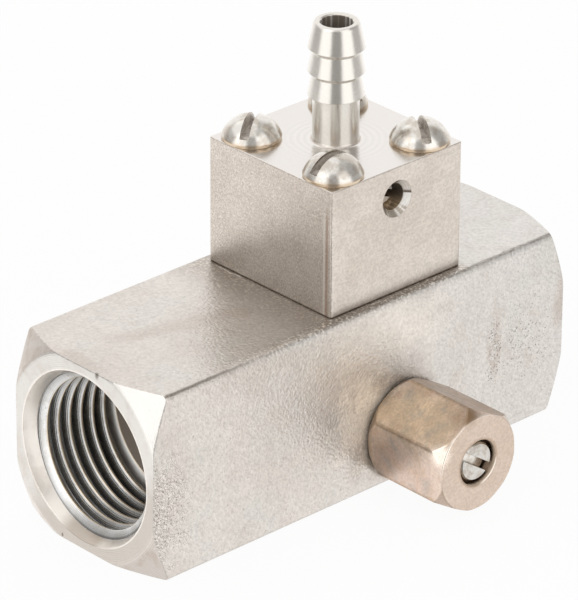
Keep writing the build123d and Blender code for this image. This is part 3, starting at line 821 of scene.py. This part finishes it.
def bar_sides(n, place, patch, grain, top, beside_ends):
    """The grainy sides with their worn, pitted and stained places and their painted light and shade: colour,
    relief, relief of the marks along the edge, and how much less metallic the golden worn patch and the painted
    shade round the nut are."""
    x, y, z = n.split(place)
    front = y.over(-face + 0.4, -face + 0.1)
    waver = patch - 0.5
    ragged = waver * 1.6
    cloud = n.speckle(place, 0.10)
    tint = n.speckle(place + (17.0, 4.0, 8.0), 0.16)
    fine = n.speckle(n.askew(place, 1.1, 0.4, 0.9), 3.2, 0.0)
    pitting = n.speckle(n.askew(place, 0.2, 0.6, 1.3), 3.6, 1.0)
    seams = n.add("TexVoronoi", {"feature": "DISTANCE_TO_EDGE"},
                  {"Vector": n.askew(place, 0.7, 0.2, 0.5) + patch * 1.5, "Scale": 2.2})
    drawn = n.speckle(place * (0.4, 1.0, 1.0), 3.6, 1.0)

    def worn(at_x, at_z, reach_x, reach_z, outline=ragged):
        """A patch on the front, used for wear, pits and stains and also for patches of painted light and shade."""
        return n.spot(place, (at_x, -face, at_z), (reach_x, 5.0, reach_z), outline)

    # A golden worn patch left of the nut, painted nearly white as painted light against the nut's dark reflection,
    # and made less metallic.
    gold_wear_and_painted_light = worn(0.5, 10.5, 7.5, 7.5) * front
    end_wear = worn(-34.4, 10.5, 9.0, 10.0) * front * x.over(-25.0, -34.0)
    pit_streak = worn(22.6, 13.0, 1.9, 7.5, ragged * 0.6) * front
    pit_wear = worn(28.0, 12.0, 7.0, 8.0) * front
    tan_side = worn(34.8, 15.0, 2.2, 5.0) * front
    # Painted light: a broad patch high on the front is painted lighter against the darker reflection there.
    lighter = worn(3.0, 21.0, 14.0, 6.0, ragged * 0.5) * front
    tan_top = n.spot(place, (-34.2, 1.0, bar_side), (1.8, 5.5, 3.0), ragged) * top
    smudge = abs(x * 0.28 + y + 5.1 + ragged * 1.2).over(2.4, 0.4) * x.over(-30.0, -25.0) * x.over(-8.0, -12.0)
    from_nut = n.turned_r(x, z, (block_x, stem_z))
    # Painted shade: a thin dark ring where the nut meets the bar, with two darker spots beside the nut.
    dark_spots_by_nut = worn(2.6, 14.6, 2.6, 1.7) + worn(-1.4, 4.6, 1.7, 3.4)
    nut_contact_shade_and_spots = ((from_nut + ragged * 0.2).over(6.8, 6.4) * 0.4 + dark_spots_by_nut * 0.3) * front
    # Painted shade in a ring round the nut's back, where it stands off the bar; the ring is also less metallic.
    nut_ring_shade = (from_nut + ragged * 0.15).over(7.3, 6.8) * front * x.over(block_x + 2.5, block_x - 1.0)
    from_block = n.add("Math", {"operation": "MAXIMUM"}, {0: abs(x - block_x), 1: abs(y)}) - block_side / 2
    seat_shade = (from_block + ragged).over(8.0, 0.5) * top * x.over(19.0, 17.5)
    burr = abs(x - block_low[0] + 0.4 + waver * 1.2).over(0.16, 0.06) * y.over(4.4, 5.2) * y.over(9.2, 8.6) * top
    spread = 0.75 - 0.10 * pit_wear - 0.14 * pit_streak - 0.12 * end_wear - 0.05 * gold_wear_and_painted_light
    pits = ((pitting - spread) * 22.0).over(0.0, 1.0)
    cracks = seams.over(0.11, 0.02) * (end_wear * 0.27 + pit_streak * 0.4) * (0.55 + 0.45 * patch.over(0.42, 0.6))
    scuff, far_line, edge_line = edge_marks(x, -y - z + face, z, waver, beside_ends)

    skin = n.blend(cloud.over(0.38, 0.62), srgb(219, 213, 207), srgb(213, 206, 199))
    skin = n.layers(
        skin, (x.over(-6.0, 30.0) * 0.7, 216, 213, 209), (tint.over(0.46, 0.66) * 0.4, 210, 209, 203),
        (patch.over(0.52, 0.72) * 0.3, 203, 193, 186),
        # Painted light: the golden worn patch and a broad patch high on the front are painted lighter.
        (gold_wear_and_painted_light * (0.7 + 0.3 * patch.over(0.4, 0.6)), 251, 241, 227), (lighter * 0.7, 236, 229, 220),
        ((pit_streak * 0.5 + pit_wear * 0.15) * patch.over(0.4, 0.65), 196, 178, 166),
        ((tan_side + tan_top * 0.7 + smudge * top * 0.6) * (0.25 + 0.5 * grain), 186, 172, 161),
        (seat_shade * 0.55, 158, 148, 137))
    # The top is painted 5% darker, as painted shade.
    skin = n.shade(skin, 0.74 + 0.32 * grain + 0.16 * fine - 0.05 * top)
    skin = n.shade(skin, 1 + 0.10 * end_wear)
    skin = n.layers(
        skin, (cracks, 158, 147, 136), (pits * 0.6, 134, 120, 108),
        # Painted shade round the nut's foot, and the darker spots beside it.
        (nut_contact_shade_and_spots * fine.over(0.3, 0.6), 118, 102, 82),
        # Painted sparkle highlights: light specks over the golden worn patch and over the painted shade before the
        # block.
        (fine.over(0.54, 0.72) * (gold_wear_and_painted_light + seat_shade) * 0.4, 240, 231, 219), (burr * 0.9, 244, 240, 234),
        (scuff * drawn.over(0.56, 0.40) * 0.45, 150, 141, 130),
        (scuff * fine.over(0.55, 0.68) * 0.7, 246, 242, 235),
        (far_line * (0.35 + 0.65 * drawn.over(0.62, 0.4)) * 0.65, 140, 132, 123),
        # Painted shade in the ring round the nut's back.
        (nut_ring_shade * 0.45, 128, 112, 92), (edge_line * (0.55 + 0.35 * fine), 134, 125, 114))

    relief = ((grain * 0.62 + fine * 0.42) * (1 + end_wear * 1.1) - pits * 0.8) * (1 - top * 0.35)
    relief = relief + seams.over(0.0, 0.2) * end_wear * 0.7
    return skin, relief, scuff * drawn * 0.6 - edge_line * 0.2, nut_ring_shade * 0.5 + gold_wear_and_painted_light * 0.4


def edge_marks(x, past_edge, z, waver, beside_ends):
    """Marks along the edge of front and top: the scuff beside the block, and a dark line towards each end."""
    upper = z.over(bar_side - 4.0, bar_side - 3.0) * beside_ends
    near_edge = past_edge.over(-2.2, -1.3) * past_edge.over(0.5, -0.1) * upper
    scuff = near_edge * x.over(-30.0, -8.0) * x.over(19.0, 14.0)
    far_line = abs(past_edge + 0.3 + waver * 0.5).over(0.5, 0.1) * x.over(11.0, 17.0) * upper
    edge_line = abs(past_edge + 0.1 + waver * 0.5).over(0.40, 0.05) * x.over(-17.0, -28.0) * upper
    return scuff, far_line, edge_line


def bar_ends(n, y, z, patch, grain, cone, rings):
    """The turned ends: fine rings, a land with painted shade on its lower, nearer part, and cones with a tan
    corner.
    """
    tan_corner = (z - y).over(32.0, 24.0)
    # Painted shade on the land's lower, nearer part.
    lower_land_shade = (z + y * 0.45).over(11.0, 5.0)
    cone_skin = n.blend((0.55 + 0.45 * patch.over(0.45, 0.66)) * tan_corner,
                        srgb(230, 227, 222), srgb(205, 193, 183))
    skin = n.blend(patch.over(0.45, 0.7) * 0.6, srgb(224, 221, 216), srgb(212, 205, 197))
    skin = n.layers(skin, (lower_land_shade, 203, 196, 188), (cone, cone_skin))
    return n.shade(skin, 0.95 + 0.06 * grain + 0.015 * rings)


def port_flare(n, y, z, patch):
    """The bright countersink at a port's mouth, with painted shade over its lowest part."""
    # Painted shade over the countersink's lowest part.
    foot = n.turned_r(y, z, (0.8, 1.7)).over(4.6, 2.0)
    skin = n.blend(patch.over(0.45, 0.65), srgb(247, 241, 233), srgb(236, 228, 219))
    return n.blend(foot, skin, srgb(197, 186, 174))


def cut_thread():
    """The pipe threads: bright cut flanks with painted shade towards the roots, painted light on the turns by the
    mouth, and a golden line along each crest.
    """
    material, n = finish("cut_thread")
    place = n.place()
    x, y, z = n.split(place)
    depth = end_x - abs(x)
    radius = n.turned_r(y, z, (0.0, bar_mid))
    above_crest = radius - (crest_r + first_crest_depth * crest_taper) + depth * crest_taper
    cloud = n.speckle(place, 0.5, 3.0, 0.6)
    chatter = n.speckle(place * (3.0, 1.0, 1.0), 2.2)
    # Painted light over the turns nearest the mouth, and extra painted shade in their roots.
    lit_first_band = depth.over(3.2, 2.0)
    root = above_crest.over(0.8, 1.05) * lit_first_band
    flank = n.blend(cloud.over(0.4, 0.65), srgb(238, 238, 237), srgb(224, 222, 218))
    # Painted shade: each flank darkens towards its root.
    flank = n.shade(flank, 0.68 + 0.28 * lit_first_band - 0.35 * root
                    - (0.4 - 0.05 * lit_first_band) * above_crest.over(0.1, 1.05))
    colour = n.layers(flank, (above_crest.over(0.10, 0.03), 216, 201, 178),
                      (chatter.over(0.68, 0.76) * 0.4, 110, 98, 84))
    tool_marks = (above_crest + 0.05 * cloud).wave(0.2)
    n.metal(colour, 0.18 + 0.08 * cloud, chatter * 0.3 + tool_marks, 0.003, 0.92)
    return material


def milled_steel():
    """The block: fine sandy sides, a bright top turned round the barb, a bright turned barb, and painted
    reflection streaks in the barb's bore.
    """
    material, n = finish("milled_steel")
    place = n.place()
    x, y, z = n.split(place)
    radius = n.turned_r(x, y, (block_x, 0.0))
    above_top = z - block_top
    on_barb = above_top.over(0.1, 0.5)
    inside = radius.over(barb_bore_r + 0.08, barb_bore_r + 0.03) * z.over(bar_side + 4.0, bar_side + 6.0)
    upward = n.split(n.add("NewGeometry", output="Normal"))[2].over(0.75, 0.95) * (1 - on_barb)
    left = (x - block_low[0]).over(0.3, 0.1) * (1 - on_barb)
    grain = n.speckle(place, 3.4, 2.0, 0.6)
    sand = n.speckle(place * (1.0, 1.0, 0.8), 6.5, 1.0)
    feed = (radius + 0.5 * n.speckle(place, 0.5)).wave(0.85)
    barb_feed = (z + 0.02 * grain).wave(0.17)
    # Painted reflections: light and dark streaks round the barb's bore.
    bore_reflection_streaks = n.streaks(x - block_x, y, radius, 3.2).over(0.5, 0.62)

    turned_top = n.shade(srgb(221, 217, 213), 0.97 + 0.025 * feed * radius.over(8.5, 4.5) + 0.05 * grain)
    colour = n.layers(
        block_sides(n, place, grain, sand, left), (upward, turned_top),
        (on_barb, n.shade(srgb(222, 218, 211), 0.92 + 0.13 * grain + 0.02 * barb_feed)),
        (inside, n.blend(bore_reflection_streaks, srgb(140, 130, 120), srgb(236, 232, 226))))
    colour, mouth, mouth_rings, dulled = meter_hole_skin(
        n, colour, x - block_x, z - meter_z, y + block_side / 2, grain)

    rough = 0.35 + 0.08 * grain
    rough = rough * (1 - upward) + upward * 0.19
    rough = rough * (1 - on_barb) + on_barb * (0.17 + 0.08 * grain)
    rough = rough * (1 - inside) + inside * 0.3
    relief = (grain * 0.5 + sand * 0.5 * left) * (1 - upward * 0.85) * (1 - on_barb)
    relief = relief * (1 - mouth) + mouth_rings * 0.5
    relief = relief + feed * upward * radius.over(9.0, 4.5) * 0.12 + (barb_feed * 0.06 + grain * 0.4) * on_barb
    barb_stem = above_top.over(barb_first, barb_first - 0.6)
    metallic = 1 - inside * (0.5 + 0.2 * bore_reflection_streaks) - dulled - on_barb * (1 - inside) * (0.1 + 0.16 * barb_stem)
    n.metal(colour, rough, relief, 0.018, metallic)
    return material


def block_sides(n, place, grain, sand, left):
    """The block's sides: sandy all round, and on the left painted shade low down, a painted highlight strip by the
    edge and a rusty line.
    """
    y, z = n.split(place)[1:]
    drawn = n.speckle(place * (0.35, 0.35, 3.0), 2.2)
    cloud = n.speckle(place, 0.14)
    skin = n.blend(cloud.over(0.38, 0.62), srgb(216, 207, 198), srgb(208, 198, 188))
    skin = n.shade(skin, 0.86 + 0.19 * grain.over(0.32, 0.68) + 0.06 * drawn.over(0.35, 0.65))
    sandy = n.layers(skin, (sand.over(0.58, 0.68) * 0.6, 244, 238, 231),
                     (sand.over(0.44, 0.32) * 0.4, 152, 139, 126))
    skin = n.blend(left, n.shade(skin, 0.97 + 0.06 * (sand - 0.5)), sandy)

    below_corner = z.over(block_top - 2.0, block_top - 4.5) * left
    # Painted highlight: a light strip beside the left face's front edge, next to the rusty line.
    edge_strip_highlight = abs(y + 9.75).over(0.24, 0.1) * below_corner
    rust_line = abs(y + 10.22).over(0.26, 0.12) * below_corner
    scribed = abs(y - 3.02).over(0.16, 0.04) * left
    arch = (y + block_side / 2) / block_side
    above_seat = z - bar_side
    # Painted shade low on the left face, reaching higher towards its front edge.
    low_left_shade = (10.4 - 8.3 * arch * arch - above_seat).over(-1.0, 3.0) * left
    return n.layers(
        n.shade(skin, 1 - 0.17 * low_left_shade), (edge_strip_highlight * 0.6, 236, 230, 222),
        (rust_line * 0.6, 168, 138, 118), (scribed * 0.15, 232, 226, 219),
        (above_seat.over(0.3, 0.05) * 0.7, 104, 92, 80))


def meter_hole_skin(n, colour, right, up, behind_front, grain):
    """The metering screw's hole in the front: a wall of painted shade, darkest at its top, and a ringed mouth,
    both with painted reflection streaks, with a painted highlight at the mouth's right and painted light at its
    upper right.
    """
    from_meter = n.turned_r(right, up) + behind_front.over(6.0, 7.0) * block_side
    wall = from_meter.over(meter_bore_r + 0.15, meter_bore_r) * behind_front.over(0.5, 0.9)
    mouth = from_meter.over(meter_mouth_r + 0.02, meter_mouth_r - 0.06) * (1 - wall)
    rings = (from_meter + 0.02 * grain).wave(0.21) * mouth
    # Painted reflections: light and dark streaks round the hole.
    streaks = n.streaks(right, up, from_meter, 2.2).over(0.46, 0.6)
    # A painted highlight at the mouth's right, and painted light at its upper right.
    glint = mouth * right.over(0.5, 1.3) * up.over(0.12, -0.08) * up.over(-1.8, -1.2)
    upper = mouth * right.over(0.3, 1.0) * up.over(0.3, 0.6)
    mark = mouth * right.over(1.1, 1.4) * abs(up - 0.2).over(0.16, 0.06)
    # Painted shade on the hole's wall, darkest at its top.
    wall_shading = n.blend(up.over(0.0, -1.6), srgb(104, 94, 83), srgb(186, 163, 134))
    colour = n.layers(
        colour, (wall, n.shade(wall_shading, 0.75 + 0.4 * streaks)),
        (mouth * 0.9, n.blend(streaks, srgb(176, 166, 154), srgb(238, 233, 226))),
        (glint + upper * 0.6, 255, 252, 246), (mark, 120, 110, 100))
    return colour, mouth, rings, wall * 0.6 + glint * 0.8 + upper * 0.4


def bright_screws():
    """Polished screws with a painted tan reflection round each head's lower edge and painted shade in the slots,
    the bypass stem, and the metering screw with painted shade in its slot.
    """
    material, n = finish("bright_screws")
    place = n.place()
    x, y, z = n.split(place)
    cloud = n.speckle(place, 0.7, 3.0, 0.6)
    scratch = n.speckle(place * (1.0, 1.0, 4.0), 2.6, 3.0, 0.6)
    from_dome_z = z - dome_z
    across = n.turned_r(abs(x - block_x), abs(y), (screw_spacing / 2, screw_spacing / 2))
    below_dome = dome_r - (across * across + from_dome_z * from_dome_z) ** 0.5
    above_top = z - block_top
    head = above_top.over(-0.3, -0.1)
    # A painted tan reflection round the lower edge of each head.
    rim_reflection = above_top.over(0.75, 0.3) * head
    # Painted shade in the slots, which are also rougher and less metallic.
    slot_shade = below_dome.over(0.12, 0.5) * head * above_top.over(0.6, 0.8)
    on_meter = n.turned_r(x, z, (block_x, meter_z)).over(meter_bore_r + 0.2, meter_bore_r + 0.05)
    meter_depth, stem_depth = y + meter_end, y + stem_end
    meter_face = on_meter * meter_depth.over(0.5, 0.3)
    # Painted shade on the metering screw behind its end face, which shows in its slot.
    meter_slot_shade = on_meter * meter_depth.over(0.12, 0.3)
    stem_face = stem_depth.over(0.8, 0.5)
    stem_rings = (n.turned_r(x, z, (block_x, stem_z)) + 0.2 * cloud).wave(0.6)

    # The colour of the painted shade in the slots.
    slot_shade_tint = n.blend(cloud.over(0.42, 0.58), srgb(150, 138, 127), srgb(206, 198, 188))
    meter_skin = n.blend(cloud.over(0.4, 0.6), srgb(250, 244, 234), srgb(222, 211, 197))
    colour = n.layers(
        n.blend(cloud.over(0.4, 0.62), srgb(219, 216, 210), srgb(198, 190, 180)),
        (rim_reflection * 0.75, 200, 176, 146), (slot_shade * (0.6 + 0.4 * scratch.over(0.4, 0.6)), slot_shade_tint),
        (scratch.over(0.6, 0.72) * 0.3, 168, 158, 146), (meter_face, meter_skin),
        (meter_slot_shade, 84, 70, 58))
    colour = n.shade(colour, 1 - stem_face * (0.2 - 0.03 * stem_rings))
    n.metal(colour, 0.15 + 0.12 * cloud + slot_shade * 0.15, scratch, 0.006,
            1 - slot_shade * 0.9 - meter_face * 0.7)
    return material


def tarnished_nickel():
    """The gland nut: worn nickel gone pinkish tan, golden above, reddish at the side, with blue-grey blots;
    painted highlights on a worn cone corner, along the face's edge and on the hole's lip, and painted shade on its
    back cone.
    """
    material, n = finish("tarnished_nickel")
    place = n.place()
    x, y, z = n.split(place)
    across = n.turned_r(x, z, (block_x, stem_z))
    depth, from_hole = y + nut_front, across - nut_hole_r
    front = depth.over(0.35, 0.1)
    cloud = n.speckle(place, 0.28, 3.0, 0.6, 0.4)
    patch = n.speckle(place + (5.0, 2.0, 9.0), 0.75, 3.0, 0.6)
    blot = n.speckle(place + (1.0, 8.0, 3.0), 0.5)
    grain = n.speckle(n.askew(place, 0.4, 0.7, 0.2), 3.0, 2.0, 0.6)
    mottle = n.speckle(place + (4.0, 4.0, 4.0), 1.6, 2.0, 0.6)
    ragged = (patch - 0.5) * 1.2
    golden = n.spot(place, (2.6, -19.5, 12.4), (5.5, 9.0, 4.6), ragged)
    reddish = n.spot(place, (0.4, -19.0, 5.5), (3.2, 9.0, 6.0), ragged)
    dark_corner = n.spot(place, (5.2, -nut_front + 1.1, 14.0), (2.6, 2.4, 2.0), ragged * 0.2)
    # A worn cone corner, made less rough and painted light as a highlight.
    worn_cone_highlight = n.spot(place, (0.6, -nut_front + 0.6, 10.4), (1.9, 2.0, 2.2), ragged * 0.2)
    beyond_cone = (across - nut_face_r) * nut_cone_slope - depth
    cones = beyond_cone.over(-0.14, -0.02)
    cone_edge = abs(beyond_cone + 0.05).over(0.3, 0.1)
    edges = (across.over(7.04, 7.2) + cones * 0.5) * (1 - worn_cone_highlight) * (0.5 + 0.5 * mottle.over(0.3, 0.6))
    # A painted highlight along the face's upper-left edge.
    face_rim_highlight = abs(across - 6.33).over(0.16, 0.05) * front * (x * 0.5 - z).over(-6.0, -9.0)
    # Painted shade on the back cone, where the nut stands off the bar; it is also less metallic.
    back_rim_shade = y.over(-nut_back - 0.9, -nut_back - 0.2)
    mouth = from_hole.over(0.5, 0.15)
    right_and_down = x - z - (block_x - stem_z)
    # A painted highlight on the hole's lip at the lower right.
    lip_highlight = from_hole.over(0.34, 0.12) * front * right_and_down.over(3.1, 4.1)
    hole_wall = from_hole.over(0.06, 0.02) * depth.over(0.75, 0.2)

    colour = n.layers(
        n.blend(cloud.over(0.42, 0.6), srgb(222, 203, 189), srgb(206, 184, 164)),
        (golden * 0.8, n.blend(cloud.over(0.4, 0.6), srgb(234, 211, 181), srgb(214, 195, 170))),
        (reddish * 0.7, 203, 180, 166), (patch.over(0.52, 0.66) * 0.3, 200, 166, 138),
        (blot.over(0.50, 0.74) * 0.5 * (1 - front), 172, 168, 164),
        (front * mottle.over(0.5, 0.66) * 0.5, 232, 206, 178), (front * 0.8, 199, 182, 168))
    colour = n.layers(
        n.shade(colour, 0.91 + 0.16 * grain.over(0.35, 0.65)), (edges * 0.5, 138, 114, 90),
        (back_rim_shade * 0.5, 150, 124, 88), (mouth * 0.5, 150, 124, 98),
        (lip_highlight * 0.75, 255, 248, 238), (hole_wall, 216, 196, 174),
        (worn_cone_highlight * 0.7 + face_rim_highlight * 0.7, 248, 235, 222),
        (dark_corner * (0.3 + 0.4 * cones + 0.3 * cone_edge), 146, 120, 95))
    turning = (across + 0.03 * patch).wave(0.3)
    relief = grain * 0.5 + mottle * 0.4 + turning * front * 0.08
    rough = (0.24 + 0.14 * patch) * (1 - worn_cone_highlight) + worn_cone_highlight * 0.12
    n.metal(colour, rough, relief, 0.014, 0.97 - back_rim_shade * 0.5 - hole_wall * 0.7)
    return material


def even_finish(name, lumps, light, dark, roughness, relief=0.0, metallic=1.0):
    """A finish that is alike all over: two near colours and a roughness that vary with one noise."""
    material, n = finish(name)
    noise = n.speckle(n.place(), *lumps)
    colour = n.blend(noise.over(0.4, 0.7), srgb(*light), srgb(*dark))
    smooth_part, varied_part = roughness
    n.metal(colour, smooth_part + varied_part * noise, noise if relief else None, relief, metallic)
    return material


def turned_inserts():
    """Pieces turned from bar and screwed in: nozzle, diffuser, gland nipple, follower, spring seat."""
    return even_finish("turned_inserts", (3.0, 2.0, 0.5), (206, 202, 196), (188, 182, 174),
                       (0.3, 0.1), 0.006)


def seal_rubber():
    return even_finish("seal_rubber", (2.0, 3.0, 0.6), (38, 37, 36), (52, 50, 49),
                       (0.5, 0.15), 0.004, 0.0)


def white_plastic():
    return even_finish("white_plastic", (1.5, 2.0, 0.5), (238, 235, 228), (226, 222, 213),
                       (0.42, 0.08), 0.004, 0.0)


def spring_wire():
    return even_finish("spring_wire", (5.0, 2.0, 0.5), (214, 212, 208), (196, 193, 188),
                       (0.2, 0.08), 0.003)


def check_ball_steel():
    return even_finish("check_ball_steel", (1.0, 2.0, 0.5), (228, 228, 228), (216, 216, 217),
                       (0.07, 0.04))


# ---------------------------------------- surroundings and camera

def grey(level, warmth=0.0):
    """A grey light of this strength, a little warm if asked."""
    return level, level * (1 - warmth), level * (1 - 2 * warmth)


def studio_sky():
    """White to the camera; to everything else a studio: a bright table below and wall behind, a soft box
    on each side of the camera with its dark stand between, dimmer sides and a grey ceiling."""
    world = bpy.data.worlds.new("soft studio")
    bpy.context.scene.world = world
    n = Nodes(world)
    front_x, front_y = -0.6835, -0.7300
    x, y, z = n.split(n.add("TexCoord", output="Generated"))
    level = (x * x + y * y) ** 0.5 + 0.0001
    toward_front = (x * front_x + y * front_y) / level * 0.5 + 0.5
    to_left = (x * front_y - y * front_x) / level
    table, table_foot, front_table = grey(1.26, 0.008), grey(0.92, 0.012), grey(1.3)
    wall, box, stand, upper_stand = grey(1.18, 0.008), grey(1.5), grey(0.36, 0.012), grey(0.52, 0.012)
    dim, left_wall, right_wall, ceiling = grey(0.57, 0.015), grey(0.68, 0.01), grey(0.5, 0.015), grey(0.68, 0.01)

    def round_about(behind, behind_end, side_start, side, lamp=box, stand=stand, stand_from=0.945):
        """Levels all round at one height, from behind the injector to the camera."""
        stops = [(0.0, behind), (behind_end, behind), (side_start, side), (0.6, side), (0.7, lamp),
                 (stand_from, lamp), (0.978, stand), (1.0, stand)]
        return n.add("ValToRGB", {"stops": stops}, {"Fac": toward_front})

    below = n.blend(z.over(-0.86, -0.66), table_foot, round_about(table, 0.3, 0.4, table, front_table))
    right_above, left_above = (round_about(wall, 0.06, 0.24, side, stand=upper_stand, stand_from=0.96)
                               for side in (right_wall, left_wall))
    above = n.blend(to_left.over(-0.4, 0.4), right_above, left_above)
    studio = n.blend(z.over(-0.42, -0.22), below, round_about(wall, 0.14, 0.32, dim))
    studio = n.layers(studio, (z.over(0.16, 0.4), above), (z.over(0.72, 0.86), ceiling))
    seen = n.add("LightPath", output="Is Camera Ray")
    shown = n.add("Background", values={"Color": n.blend(seen, studio, (1.0, 1.0, 1.0)), "Strength": 1.0})
    n.add("OutputWorld", values={"Surface": shown})


def pale_floor():
    """A plain pale table that keeps the injector's shadow."""
    reach, drop = 1500, -0.02
    points = [(-reach, -reach, drop), (reach, -reach, drop), (reach, reach, drop), (-reach, reach, drop)]
    table = mesh_object("pale_table", points, [(0, 1, 2, 3)])
    material, n = finish("pale_table")
    seen = n.add("LightPath", output="Is Camera Ray")
    matt = n.add("BsdfDiffuse", values={"Color": (0.8, 0.8, 0.8)})
    white = n.add("Emission", values={"Color": (1.0, 1.0, 1.0), "Strength": 1.0})
    n.add("OutputMaterial", values={"Surface": n.add("MixShader", values={0: seen * 0.94, 1: matt, 2: white})})
    table.data.materials.append(material)
    table.visible_glossy = False


def soft_lamp(name, place, aim, size, power):
    """A square soft box, with its place and aim in millimetres."""
    light = bpy.data.lights.new(name, "AREA")
    light.size = size * MM
    light.energy = power
    lamp = bpy.data.objects.new(name, light)
    bpy.context.scene.collection.objects.link(lamp)
    lamp.location = Vector(place) * MM
    lamp.rotation_euler = (Vector(place) - Vector(aim)).to_track_quat("Z", "Y").to_euler()


def photograph_camera():
    """The photograph's viewpoint, solved from the bar's corners: angles in degrees, lengths in millimetres."""
    heading, height, tilt = (math.radians(angle) for angle in (-43.108, 26.859, 0.340))
    distance, aim_right, aim_up = 674.69, -0.752, 8.673
    back = Vector((math.sin(heading) * math.cos(height), -math.cos(heading) * math.cos(height), math.sin(height)))
    right = Vector((0, 0, 1)).cross(back).normalized()
    up = back.cross(right)
    target = right * aim_right + up * aim_up + Vector((0, 0, bar_mid))
    level_right = right * math.cos(tilt) + up * math.sin(tilt)
    level_up = up * math.cos(tilt) - right * math.sin(tilt)
    lens = bpy.data.cameras.new("photograph")
    lens.lens = 322.93
    lens.sensor_width = 36
    lens.clip_end = 10
    camera = bpy.data.objects.new("photograph", lens)
    bpy.context.scene.collection.objects.link(camera)
    turn = Matrix((level_right, level_up, back)).transposed().to_4x4()
    camera.matrix_world = Matrix.Translation((target + back * distance) * MM) @ turn
    bpy.context.scene.camera = camera


# ---------------------------------------- putting it together

steel = blasted_steel()
block_steel = milled_steel()
screw_steel = bright_screws()
insert_steel = turned_inserts()
rubber = seal_rubber()
plastic = white_plastic()

steel_bar(steel)
thread_steel = cut_thread()
pipe_thread("outlet_thread", outlet_line, thread_steel)
pipe_thread("inlet_thread", inlet_line, thread_steel)
check_block(block_steel)
for number, (line, slot_turn) in enumerate(zip(screw_lines(), screw_slot_turns), start=1):
    block_screw(number, line, slot_turn, screw_steel)
hexagon_nut(tarnished_nickel())
needle_stem(screw_steel)
metering_plug(screw_steel)
coil_spring(spring_wire())

inner_finishes = {
    "metering_o_ring": rubber, "gland_nipple": insert_steel, "gland_packing": plastic,
    "gland_follower": insert_steel, "stem_o_ring": rubber, "venturi_nozzle": insert_steel,
    "nozzle_o_ring": rubber, "venturi_diffuser": insert_steel, "diffuser_o_ring": rubber,
    "block_seal": rubber, "check_seat": plastic, "check_ball": check_ball_steel(),
    "spring_seat": insert_steel,
}
for node, material in inner_finishes.items():
    dress(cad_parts[node], material)

studio_sky()
pale_floor()
soft_lamp("overhead box", place=(-150, 150, 600), aim=(0, 0, 20), size=900, power=1.2)
photograph_camera()
bpy.context.scene.view_settings.view_transform = "Standard"
